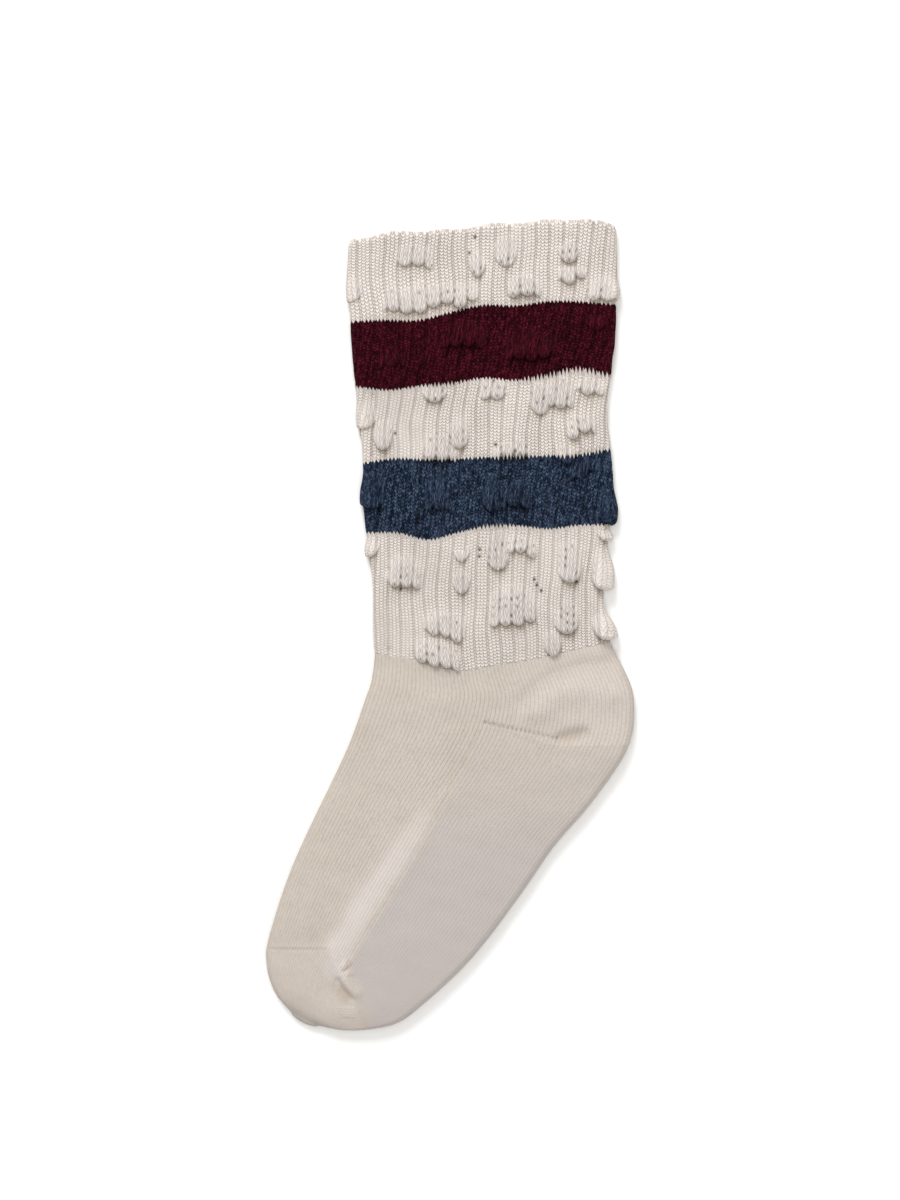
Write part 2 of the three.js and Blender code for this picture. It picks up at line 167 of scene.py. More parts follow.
# Name, left fold, right fold, thickness at the folds, crown, a groove's place, rib pitch, and how far the
# course waves above the straight line at each eighth of the way across
SECTIONS = (
    ("rim", (-43.5, 168.5), (72.5, 175.5), 5.3, 0.3, -28.2, 6.05, (2.2, 2.5, 2.1, 3.3, 3.5, 3.7, 3.4)),
    ("cuff", (-44.4, 153), (72.8, 158), 5.3, 0.5, -28.8, 6.02, (0.8, 0.5, 1, 2.5, 2.5, 2.8, 2.2)),
    ("red_top", (-43, 133), (72.4, 140.5), 5.3, 0.6, -27.5, 5.83, (-0.3, -1.3, 1.2, 3.4, 2.3, 3.2, 2.1)),
    ("red_middle", (-42.3, 119), (71.8, 124.5), 5.3, 0.6, -28.8, 5.72, (-1, -1.2, 0.3, 2.2, 1, 2, 2.8)),
    ("red_end", (-40.8, 104.5), (70, 109.5), 5.3, 0.6, -31.5, 5.67, (-2.1, -0.9, -0.4, 1.2, -0.3, 1.1, 3.4)),
    ("calf", (-39.3, 88.5), (68.3, 93), 5.3, 0.6, -33.7, 5.64, (-0.4, -0.5, -0.5, 0.3, -0.7, 0, 1)),
    ("blue_top", (-37.5, 71), (70, 77), 5.3, 0.6, -34.5, 5.68, (1.2, 0, -0.5, -0.5, -1.1, -1.3, -1.6)),
    ("blue_middle", (-37.5, 55), (71, 60), 5.3, 0.6, -36.1, 5.61, (0.5, -2, -0.8, 0.4, 0, -1.1, -0.7)),
    ("blue_end", (-36, 40.5), (69.5, 44), 5.3, 0.6, -37.3, 5.56, (-0.5, -3.9, -1.2, 1.2, 0.9, -0.9, 0.2)),
    ("shin", (-33.5, 21), (67.5, 24), 5.3, 0.6, -38.4, 5.5, (-0.8, -3.5, -3, -1.5, -1, -1.5, -0.5)),
    ("low_rib", (-33, 3.5), (67, 8), 5.4, 0.8, -38, 5.41, (-1.5, -5, -5.5, -4, -3.5, -2.5, -1)),
    ("ankle", (-33, -12.5), (70.5, -7.5), 5.8, 1, -37.5, 5.41, (-2.3, -7.3, -9.4, -7.8, -6.5, -4.5, -2)),
    ("heel_top", (-34.5, -24.5), (79.3, -26), 6.6, 1.5, -37.5, 5.41, (-1.5, -4, -5, -4.5, -3.5, -2.5, -1)),
    ("heel_back", (-37, -32), (80.9, -38.5), 6.8, 1.6, -37.5, 5.41, (-1, -2, -2.5, -2, -1.5, -1, -0.5)),
    ("heel_under", (-39.2, -38.5), (79.3, -50.5), 6.8, 1.6, -37.5, 5.41, FLAT),
    ("heel_end", (-41.3, -44.5), (73.3, -62.5), 6.8, 1.6, -37.5, 5.41, FLAT),
    ("arch", (-45, -54), (60.3, -80.3), 6.8, 1.5, -37.5, 5.41, FLAT),
    ("middle", (-51, -67), (45.6, -97.3), 6.8, 1.4, -37.5, 5.41, FLAT),
    ("instep", (-59.5, -84.5), (30.6, -118.9), 6.8, 1.4, -37.5, 5.41, FLAT),
    ("ball", (-68, -103), (15.6, -139), 6.8, 1.4, -37.5, 5.41, FLAT),
    ("toe_base", (-74.5, -120.5), (4.1, -152), 6.8, 1.4, -37.5, 5.41, FLAT),
    ("toe_seam", (-80.2, -140), (-11.4, -166.2), 6.6, 1.4, -37.5, 5.41, FLAT),
    ("toe_box", (-80.6, -148), (-22.3, -174.4), 6.4, 1.3, -37.5, 5.41, FLAT),
    ("toe_round", (-79.2, -155.5), (-34, -177.4), 6, 1.1, -37.5, 5.41, FLAT),
    ("toe_nose", (-75.8, -163), (-46.5, -178), 5.2, 0.7, -37.5, 5.41, FLAT),
    ("toe_tip", (-69.5, -170.3), (-58, -176), 3.4, 0, -37.5, 5.41, FLAT),
)

# Puffs: middle across, where it leaves the rib, its lip, width, lift, and how much lower the right end hangs
PUFFS = (
    (-15.5, 169, 157, 15, 1.8, 0), (-8.5, 152, 138.5, 41, 2.4, -5), (12, 165, 152.5, 5.5, 2, 0),
    (24.5, 172, 157, 8, 1.6, 0), (32.5, 156, 142.5, 13, 2.8, -1), (52, 171, 158.5, 7, 2.6, 0),
    (53.5, 158.5, 150.5, 11, 2.4, 0), (67.5, 155, 143, 13, 2.4, 0), (-43.5, 156, 141.5, 8, 1.3, 0),
    (6, 136, 121.5, 18, 2.2, -2), (35.5, 131, 116.5, 20, 2.2, 0), (64, 139, 129, 8, 1.4, 0),
    (-25.5, 122, 113, 10, 1.4, 0), (-7, 106, 97.5, 9, 2.6, 0), (19, 112, 99.5, 10, 2, 0),
    (47.5, 112.5, 96, 12, 2.2, 0), (61.5, 111, 101, 11, 2, 0), (-38, 101, 86, 9, 1.6, 0),
    (-29.5, 93, 76.5, 6.5, 3, 0), (-4, 86.5, 71.5, 14, 3.2, 0), (3.5, 93, 77, 7.5, 2.6, 0),
    (39.5, 108, 92, 7, 1.8, 0), (57.5, 93, 82.5, 11, 2.8, -1.5), (51, 81, 70.5, 7, 2.6, 0),
    (27, 82, 73, 15, 2, 0), (-34, 70, 51, 9, 2, 0), (-5.5, 67.5, 49.5, 10, 2.2, 0),
    (18.5, 67, 49.5, 7, 2.4, 0), (29, 63, 50.5, 11, 2.6, 0), (58.5, 75, 65.5, 12, 1.8, -3),
    (70.5, 62, 44, 9, 3.2, 0), (69, 43, 36.5, 8, 2.4, 0), (-35.5, 39, 29.5, 7, 2.2, 0),
    (-20, 31.5, 16.5, 12.5, 3, 0), (5, 35, 27.5, 6, 1.6, 0), (5, 26, 13.5, 6, 2, 0),
    (-2.5, 9.5, -5, 16, 2.6, 5), (-5.5, -4, -19, 18, 3, 5), (21, 44, 24, 8, 2.8, 0),
    (31.5, 41, 30.5, 11, 2.6, 0), (52.5, 40, 18.5, 8.5, 2.8, 0), (27.5, 20.5, 0, 20, 2.6, 0),
    (51, 11.5, -4, 9, 2.8, 0), (45, 0.5, -14, 6, 2.4, 0), (67.5, 38, 15, 9, 4.6, 0),
    (68, 9, -6.5, 9, 4.6, 0),
)

# Soft folds and creases: the line they follow, half width, and how far the cloth stands up, or sinks
FOOT_FOLDS = (
    (((-8, -72), (-15.5, -89), (-26.5, -107), (-37.8, -122.5), (-47, -140)), 6.5, 0.75),
    (((13.2, -46.6), (-5.3, -82.7), (-26, -118.4), (-42.2, -143.4)), 0.9, -0.3),
    (((4, -62), (-16, -84), (-33, -109), (-50, -134)), 4, -0.45),
    (((15.6, -42.7), (27.3, -44.9), (40.5, -47.6), (47, -49.2)), 0.9, -0.25),
    (((49, -49.8), (54, -48.2), (58, -47.6)), 2.8, -2.2), (((56, -60), (68, -56)), 8, 0.7),
    (((38, -37), (47, -30.5), (60, -27.5), (70, -30)), 6.5, 2.4),
    (((32, -34), (37, -27.5), (46, -21.5), (57, -18.5), (69, -16.5)), 3.4, -1.4),
    (((-26, -17), (-10, -24), (6, -27)), 4.5, -0.7),
    (((-52, -142), (-50, -149), (-46, -156), (-41, -161)), 2.6, 1.2),
    (((-49.2, -155.5), (-46.8, -159.8), (-43, -163.8)), 1.2, -0.9), (((-50, -159), (-46.5, -165)), 3, -0.7),
    (((-44.4, -147.3), (-43.6, -149), (-45.3, -150.8), (-47.1, -151.7)), 0.5, -0.7),
    (((-46.5, -149), (-46, -148)), 1.1, 0.6), (((-44.2, -152.4), (-43.4, -152.6)), 1.2, 0.6),
    (((-78.5, -142), (-66, -142.3), (-54, -142)), 0.55, -0.3), (((-78.5, -140.8), (-54, -140.8)), 0.5, 0.2),
    (((-49, -167.6), (-42, -167.9)), 0.45, 0.45), (((-48.5, -168.8), (-41.5, -169.2)), 0.45, 0.45),
    (((-48, -170), (-42, -170.4)), 0.45, 0.45), (((-47, -171.2), (-42, -171.6)), 0.45, 0.4),
)
# Brown shadow in the deepest creases of the toe and the heel, as a share
FOOT_SHADOWS = (
    (((-47.4, -159.2), (-44.4, -163)), 1.3, 0.25),
    (((-43.6, -148), (-43.5, -149.2), (-45, -150.6)), 0.5, 0.4),
    (((50, -49.7), (57, -48)), 1.6, 0.3), (((-48.4, -160.5), (-46, -163.8)), 2.4, 0.2),
)
# The line along the foot where the cushioned sole starts, and the paler band beside it
SOLE_LINE = (
    (-38, -178), (-42, -163), (-45.5, -153), (-42.2, -143.4), (-26, -118.4), (-5.3, -82.7), (13.2, -46.6),
)
PALE_BAND = ((((-6, -66), (-15, -90), (-26.5, -107), (-38, -122), (-47.5, -139), (-50, -150)), 6.5, 1.0),)
# Creases of the leg, in the same form
LEG_CREASES = (
    (((22.4, 63.5), (22.4, 55)), 0.9, -1.8), (((21.1, 44), (21.1, 26)), 0.9, -1.8),
    (((-29.9, 71), (-31, 55), (-30.5, 40)), 0.8, -1.1), (((-34, 101), (-33.2, 88), (-34, 74)), 0.8, -1.2),
    (((-28.2, 21), (-27.5, 5), (-27, -9)), 1.1, 1.3), (((-30.2, 21), (-29.6, 5), (-29, -9)), 0.8, -0.7),
    (((47, 110), (45, 96)), 0.7, -0.9), (((62, 108), (60, 90)), 0.7, -0.8),
    (((-6, 106), (-6.5, 99)), 0.6, -0.8), (((54, 75), (57, 66)), 0.8, -0.9),
)
# Where single stitches of one colour are pulled far into the next
SPIKES = (
    (((37, 107), (50, 110), (66, 111)), 5, 1.9), (((24, 75), (29, 75)), 4, 1.4),
    (((-8, 104), (2, 105)), 3, 1.2), (((14, 44), (24, 44)), 3, 1.2), (((50, 76), (66, 78)), 3, 1.2),
)
# Single pinholes beside pulled stitches
PINHOLES = (
    (-3.5, 69), (20, 79), (28.5, 76.5), (33, 74), (24, 72.5), (11, 170), (8.5, 163), (46, 140.5), (-14, 47),
    (55.5, 19), (-21.5, 16), (8.7, 61), (13, 33), (12.8, 30), (38, 17.5), (40, 15), (37, 20), (-24, 84),
)
# The knotted line along the heel gore: each stitch's small hole
GORE_HOLES = tuple((15.5 + 1.95 * i, -42.6 - 0.42 * i - 0.25 * (i % 2)) for i in range(17))


class Side(Enum):
    """Which way a ring runs over the flat tube."""

    TOP = 1
    UNDER = -1


def clamp01(x):
    """Limits a number or array to 0 to 1."""
    return np.clip(x, 0.0, 1.0)


def smooth(x):
    """Eases a share between 0 and 1."""
    x = clamp01(x)
    return x * x * (3 - 2 * x)


def along(values: np.ndarray, at: np.ndarray) -> np.ndarray:
    """Reads the smooth curve through evenly spaced values.

    Args:
        values: one row of numbers, or one row for each entry of at.
        at: places in the row, from 0 to its length less one.

    Returns:
        The curve's values at those places.
    """
    last = values.shape[-1] - 1
    i = np.clip(np.floor(at).astype(int), 0, last - 1)
    t = at - i

    def pick(index):
        index = np.clip(index, 0, last)
        return values[index] if values.ndim == 1 else np.take_along_axis(values, index, -1)

    a, b = pick(i), pick(i + 1)
    before = np.where(i > 0, pick(i - 1), 2 * a - b)
    after = np.where(i + 1 < last, pick(i + 2), 2 * b - a)
    slope_in, slope_out = (b - before) / 2, (after - a) / 2
    bend = 3 * (b - a) - 2 * slope_in - slope_out
    return a + t * (slope_in + t * (bend + t * (slope_in + slope_out - 2 * (b - a))))


class Tube:
    """The flat tube that the sections describe.

    Args:
        gauge: the knit's sizes.
        cloth: the cloth's thickness and mesh steps.
    """

    def __init__(self, gauge: Gauge, cloth: Cloth) -> None:
        self.gauge, self.cloth = gauge, cloth
        self.names = [row[0] for row in SECTIONS]
        columns = [[*r[1], *r[2], r[3], r[4], r[5], r[6], 0, *r[7], 0] for r in SECTIONS]
        self.columns = np.array(columns, float).T

    def row(self, name: str) -> int:
        """Gives a section's place by its name."""
        return self.names.index(name)

    def at(self, places: np.ndarray) -> dict:
        """Reads the sections at places along the tube, as columns of one number a place."""
        c = [along(values, places)[:, None] for values in self.columns]
        dx, dy = c[2] - c[0], c[3] - c[1]
        width = np.hypot(dx, dy)
        fold = c[4]
        return {
            "left": (c[0], c[1]), "across": (dx / width, dy / width), "width": width, "fold": fold,
            "flat": width - fold, "quarter": fold * math.pi / 4, "run": width - fold + fold * math.pi / 2,
            "crown": c[5], "groove": c[6], "pitch": c[7], "wave": np.hstack(c[8:]),
        }

    def count(self, s: dict, share: np.ndarray) -> np.ndarray:
        """Counts ribs from the marked groove to a share of the way across."""
        over = s["quarter"] - s["fold"] / 2
        return (s["left"][0] + (share * s["run"] - over) * s["across"][0] - s["groove"]) / s["pitch"]

    def share(self, s: dict, count: np.ndarray) -> np.ndarray:
        """Gives the share of the way across at which a rib lies; the reverse of count."""
        over = s["quarter"] - s["fold"] / 2
        return ((s["groove"] + count * s["pitch"] - s["left"][0]) / s["across"][0] + over) / s["run"]

    def ring(self, s: dict, share: np.ndarray, under: np.ndarray, inset: np.ndarray, crown: float) -> tuple:
        """Works out points of flattened rings.

        Args:
            s: the sections, from at.
            share: share of the way from the left fold to the right one.
            under: true where the point is on the underside.
            inset: how far inside the outer face the ring runs.
            crown: share of the crown that it has.

        Returns:
            Distance from the left fold, height, and the outward direction as two arrays.
        """
        radius = s["fold"] / 2 - inset
        run = share * s["run"]
        first = run / (s["fold"] / 2)
        last = (run - s["quarter"] - s["flat"]) / (s["fold"] / 2)
        is_first, is_last = run < s["quarter"], run >= s["quarter"] + s["flat"]
        level = np.where(is_last, s["flat"] + radius * np.sin(last), run - s["quarter"])
        a = np.where(is_first, -radius * np.cos(first), level)
        z = np.where(is_first, radius * np.sin(first), np.where(is_last, radius * np.cos(last), radius))
        out_a = np.where(is_first, -np.cos(first), np.where(is_last, np.sin(last), 0.0))
        out_z = np.where(is_first, np.sin(first), np.where(is_last, np.cos(last), 1.0))
        a = a + s["fold"] / 2
        side = np.where(under, Side.UNDER.value, Side.TOP.value)
        dome = 1 - (2 * clamp01(a / s["width"]) - 1) ** 4
        bulge = np.where(under, 0.0, crown * s["crown"] * dome * clamp01(z / np.maximum(radius, 1e-6)))
        return a, s["fold"] / 2 + side * z + bulge, out_a, side * out_z

    def plan(self, s: dict, a: np.ndarray) -> tuple:
        """Gives the plan position of points at distance a from the left fold."""
        rise = along(s["wave"], clamp01(a / s["width"]) * 8)
        (cx, cy), (lx, ly) = s["across"], s["left"]
        return lx + cx * a - cy * rise, ly + cy * a + cx * rise

    def length(self, probe: np.ndarray) -> np.ndarray:
        """Measures how far each place lies along the tube's middle from the first one."""
        s = self.at(probe)
        x, y = self.plan(s, s["width"] / 2)
        return np.concatenate([[0], np.cumsum(np.hypot(np.diff(x[:, 0]), np.diff(y[:, 0])))])

    def places(self, start: float, end: float, step: float) -> np.ndarray:
        """Spreads places evenly along the tube's middle, about step apart."""
        probe = np.linspace(start, end, 400)
        length = self.length(probe)
        rows = max(2, int(round(length[-1] / step)))
        return np.interp(np.linspace(0, length[-1], rows + 1), length, probe)

    def distance(self, places: np.ndarray) -> np.ndarray:
        """Measures how far down the tube's middle each place lies from the mouth."""
        probe = np.linspace(0, len(SECTIONS) - 1, 2000)
        return np.interp(places, probe, self.length(probe))


class Relief:
    """What stands out of the knit or sinks into it.

    Args:
        gauge: the knit's sizes.
    """

    def __init__(self, gauge: Gauge) -> None:
        self.gauge = gauge
        rng = np.random.default_rng(SEED)
        self.drop = rng.uniform(-1, 1, (len(PUFFS), 64))
        self.waves = rng.uniform(-1, 1, (10, 4))

    def wale(self, count: np.ndarray) -> np.ndarray:
        """Turns a rib count into a count of wales: one narrow sunk wale and three wide ones in each rib."""
        rib = np.floor(count + self.gauge.sunk / 2)
        inside = count + self.gauge.sunk / 2 - rib
        face = (inside - self.gauge.sunk) / (1 - self.gauge.sunk) * (self.gauge.wales - 1)
        return rib * self.gauge.wales + np.where(inside < self.gauge.sunk, inside / self.gauge.sunk, 1 + face)

    def ribs(self, count: np.ndarray) -> np.ndarray:
        """Height of the rib at a rib count, from 0 in its groove to 1."""
        inside = count - np.floor(count)
        return smooth(np.minimum(inside, 1 - inside) / self.gauge.shoulder)

    def stitches(self, wale: np.ndarray, course: np.ndarray, stitch: Stitch) -> np.ndarray:
        """Height of the V stitches, from 0 to 1."""
        s = np.abs(wale - np.floor(wale) - 0.5) * 2
        p = course * stitch.size + stitch.lean * s + OUT_OF_LINE * np.sin(np.floor(wale) * WALE_TURN)
        p = p - np.floor(p)
        return (1 - np.abs(2 * p - 1) ** stitch.sharp * (0.7 + 0.3 * s**3)) * (1 - 0.5 * s**6)

    def lip(self, number: int, x: np.ndarray, count: np.ndarray) -> np.ndarray:
        """Where a puff's lower edge runs: a scallop at each rib, each a little uneven."""
        mx, _, lip, width, _, slant = PUFFS[number]
        if width < PUFF.pod:
            return lip + PUFF.pod_rise * (2 * (x - mx) / width) ** 2
        rib = np.floor(count)
        lobe = np.sin(math.pi * (count - rib))
        ragged = PUFF.ragged * self.drop[number][rib.astype(int) % 33]
        return lip - slant * (x - mx) / width + ragged + PUFF.scallop * (1 - lobe)

    def puffs(self, x: np.ndarray, y: np.ndarray, count: np.ndarray) -> tuple:
        """Finds the strongest puff at each point.

        Args:
            x: plan position across.
            y: plan position along.
            count: rib count at the point.

        Returns:
            How far it stands out, how far its cloth slumps down the leg, how much it is a puff, and the
            small holes between its long stitches.
        """
        lift, slump, mask, pins = (np.zeros_like(x) for _ in range(4))
        middle = np.abs(count - np.floor(count) - 0.5)
        ribs = np.floor(count).astype(int)
        lobe = clamp01(np.sin(math.pi * (count - np.floor(count)))) ** 0.5
        for number, (mx, top, low, width, high, _) in enumerate(PUFFS):
            near = (np.abs(x - mx) < width / 2 + 2) & (y < top + 1) & (y > low - 5)
            if not near.any():
                continue
            i = np.nonzero(near)
            px, py, pl = x[i], y[i], lobe[i] if width >= PUFF.pod else np.ones_like(x[i])
            low_here = self.lip(number, px, count[i]) + PUFF.raise_lip * high
            over = np.abs(px - mx) / (width / 2 + PUFF.margin)
            side = np.sqrt(clamp01(1 - over**PUFF.roundness))
            ragged = PUFF.ragged_top * self.drop[number][33 + ribs[i] % 24]
            crest = top - (top - low_here) * PUFF.bow * over**2 + ragged
            down = (crest - py) / (crest - low_here)
            round_off = clamp01((low_here + PUFF.turn_in - py) / PUFF.turn_in)
            joined = 0.95 - 0.3 * round_off**2
            here = high * side * smooth(down / 0.75) * np.sqrt(clamp01(1 - round_off**2))
            here = here * (joined + (1 - joined) * pl)
            here = np.where(down < 1, here, 0)
            hang = high * side * smooth((down - 0.3) / 0.7) * (0.6 + 0.4 * pl) * (down < 1)
            stronger = here > lift[i]
            slump[i] = np.where(stronger, hang, slump[i])
            lift[i] = np.where(stronger, here, lift[i])
            here = side * smooth(down / 0.45) * (down < 1.0)
            mask[i] = np.maximum(mask[i], here)
            v = (py - low_here) / self.gauge.loop
            for offset, share in ((0.4, middle[i]), (0.9, 0.5 - middle[i])):
                step = np.round(v - offset)
                far = (v - offset - step) * self.gauge.loop / PUFF.pin[1]
                aside = share * PUFF.pitch / PUFF.pin[0]
                chance = np.sin(step * 7.3 + np.round(count[i] - offset) * 12.9 + number) * 43.7
                open_ = clamp01((chance - np.floor(chance)) * 2.2 - 0.7)
                pins[i] = np.maximum(pins[i], here * open_ * np.exp(-(aside**2) - far**2))
        return lift, slump * PUFF.slump, mask, pins

    def lip_shadows(self, x: np.ndarray, y: np.ndarray, count: np.ndarray) -> np.ndarray:
        """Tells how strongly a point takes the painted shadow just under a puff's lip or just above its top,
        from 0 to 1.
        """
        painted_shade = np.zeros_like(x)
        for number, (mx, top, low, width, high, _) in enumerate(PUFFS):
            i = np.nonzero((np.abs(x - mx) < width / 2 + 0.6) & (y < low + 6) & (y > low - 7))
            below = self.lip(number, x[i], count[i]) - y[i]
            here = np.where(below > -0.5, np.exp(-np.maximum(below, 0) / 1.9), 0) * clamp01(high / 2.4)
            above = y[i] - top
            here = np.maximum(here, 0.3 * np.exp(-(((above - 0.4) / 1.1) ** 2)))
            here = here * clamp01((width / 2 + 0.6 - np.abs(x[i] - mx)) / 2)
            painted_shade[i] = np.maximum(painted_shade[i], here)
        return painted_shade

    def folds(self, x: np.ndarray, y: np.ndarray, rows: tuple) -> np.ndarray:
        """Adds up the soft folds or creases of a table at each point."""
        total = np.zeros_like(x)
        for line, half, lift in rows:
            nearest = np.full_like(x, 1e9)
            for (x0, y0), (x1, y1) in zip(line, line[1:]):
                dx, dy = x1 - x0, y1 - y0
                t = clamp01(((x - x0) * dx + (y - y0) * dy) / (dx * dx + dy * dy))
                nearest = np.minimum(nearest, (x - x0 - t * dx) ** 2 + (y - y0 - t * dy) ** 2)
            total += lift * np.exp(-nearest / half**2)
        return total

    def holes(self, x: np.ndarray, y: np.ndarray, spots: tuple, wide: float, long: float) -> np.ndarray:
        """Depth of small holes of a half width and half length at the spots, from 0 to 1."""
        deep = np.zeros_like(x)
        for hx, hy in spots:
            i = np.nonzero((np.abs(x - hx) < 3 * wide) & (np.abs(y - hy) < 3 * long))
            deep[i] = np.maximum(deep[i], np.exp(-(((x[i] - hx) / wide) ** 2 + ((y[i] - hy) / long) ** 2)))
        return deep

    def uneven(self, x: np.ndarray, y: np.ndarray) -> np.ndarray:
        """Slow unevenness of cloth that lies loosely, from about -1 to 1."""
        total = np.zeros_like(x)
        for i, (a, b, c, d) in enumerate(self.waves):
            size = 9 + 4 * i
            total += np.sin((x * a + y * b) * 6 / size + 9 * c + 3 * d)
        return total / 4


# Materials


def linear(hex_colour: str) -> tuple:
    """Turns an sRGB hex colour into the linear one that a shader takes."""
    parts = [int(hex_colour[i : i + 2], 16) / 255 for i in (1, 3, 5)]
    return (*(c / 12.92 if c <= 0.04045 else ((c + 0.055) / 1.055) ** 2.4 for c in parts), 1.0)


@dataclass(frozen=True)
class Yarn:
    """The finish of one knitted stretch.

    Args:
        name: the material's name.
        base: colour of the yarn where it catches light.
        deep: colour of the painted shade between the strands and in the grooves; it also darkens random
            patches.
        fleck: colour of the heather's other fibres.
        puffed: colour of the raised, looser yarn.
        shade: colour of the painted shadow in the hollows beside a puff and in the foot's deepest creases.
        cushion: colour over the cushioned sole.
        heather: share of the other fibres.
        bump: depth of the stitch bump, in metres.
        clear: how clearly single stitches show.
        sheen: weight of the fibres' sheen.
        rows: how clearly a course shows against the next.
    """

    name: str
    base: str
    deep: str
    fleck: str
    puffed: str
    shade: str
    cushion: str
    heather: float = 0.2
    bump: float = 0.0005
    clear: float = 1.0
    sheen: float = 0.15
    rows: float = 1.0


CREAM_RIB = Yarn(
    "cream_rib_wool", "#e6dfd8", "#a0928a", "#dcd2c8", "#e1dbd8", "#8f7a58", "#e6dfd8", 0.25, 0.0005, 0.92
)
BURGUNDY = Yarn(
    "burgundy_heather_wool", "#28040d", "#080101", "#601829", "#310711", "#080101", "#28040d",
    0.3, 0.0005, 0.9, 0.0,
)
BLUE = Yarn(
    "blue_heather_wool", "#141d2f", "#05070c", "#506179", "#1a2539", "#05070c", "#141d2f",
    0.32, 0.0005, 0.9, 0.0,
)
CREAM_FOOT = Yarn(
    "cream_plain_wool", "#c2b9af", "#94877a", "#b8aea4", "#cec6c3", "#9b8768", "#b0a9a7",
    0.25, 0.0003, 0.8, 0.1, 0.3,
)
# Colour of the painted shade in small holes
HOLE_SHADE_COLOUR = "#2e261f"


def node(tree: bpy.types.NodeTree, kind: str, settings: dict | None = None, links: dict | None = None):
    """Adds one shader node.

    Args:
        tree: the node tree.
        kind: the node's type name.
        settings: attributes and input values by name or number.
        links: output sockets to link, by input name or number.

    Returns:
        The new node.
    """
    made = tree.nodes.new(kind)
    for key, value in (settings or {}).items():
        if isinstance(key, str) and hasattr(made, key):
            setattr(made, key, value)
        else:
            made.inputs[key].default_value = value
    for key, socket in (links or {}).items():
        tree.links.new(socket, made.inputs[key])
    return made


def math_node(tree, operation: str, *values):
    """Adds a Math node whose inputs are numbers or sockets and returns its output."""
    made = node(tree, "ShaderNodeMath", {"operation": operation})
    for i, value in enumerate(values):
        if isinstance(value, (int, float)):
            made.inputs[i].default_value = value
        else:
            tree.links.new(value, made.inputs[i])
    return made.outputs[0]


def mix_colour(tree, factor, first, second):
    """Mixes two colours, each a tuple or a socket, and returns the output."""
    made = node(tree, "ShaderNodeMix", {"data_type": "RGBA"})
    for i, value in ((0, factor), (6, first), (7, second)):
        if isinstance(value, (int, float, tuple)):
            made.inputs[i].default_value = value
        else:
            tree.links.new(value, made.inputs[i])
    return made.outputs[2]


def fibre_noise(tree, place, scale: tuple, detail: float, roughness: float):
    """Adds noise that is stretched along the fibres and returns its output."""
    stretched = node(tree, "ShaderNodeMapping", {"Scale": scale}, {"Vector": place}).outputs[0]
    settings = {"Scale": 1.0, "Detail": detail, "Roughness": roughness}
    return node(tree, "ShaderNodeTexNoise", settings, {"Vector": stretched}).outputs[0]


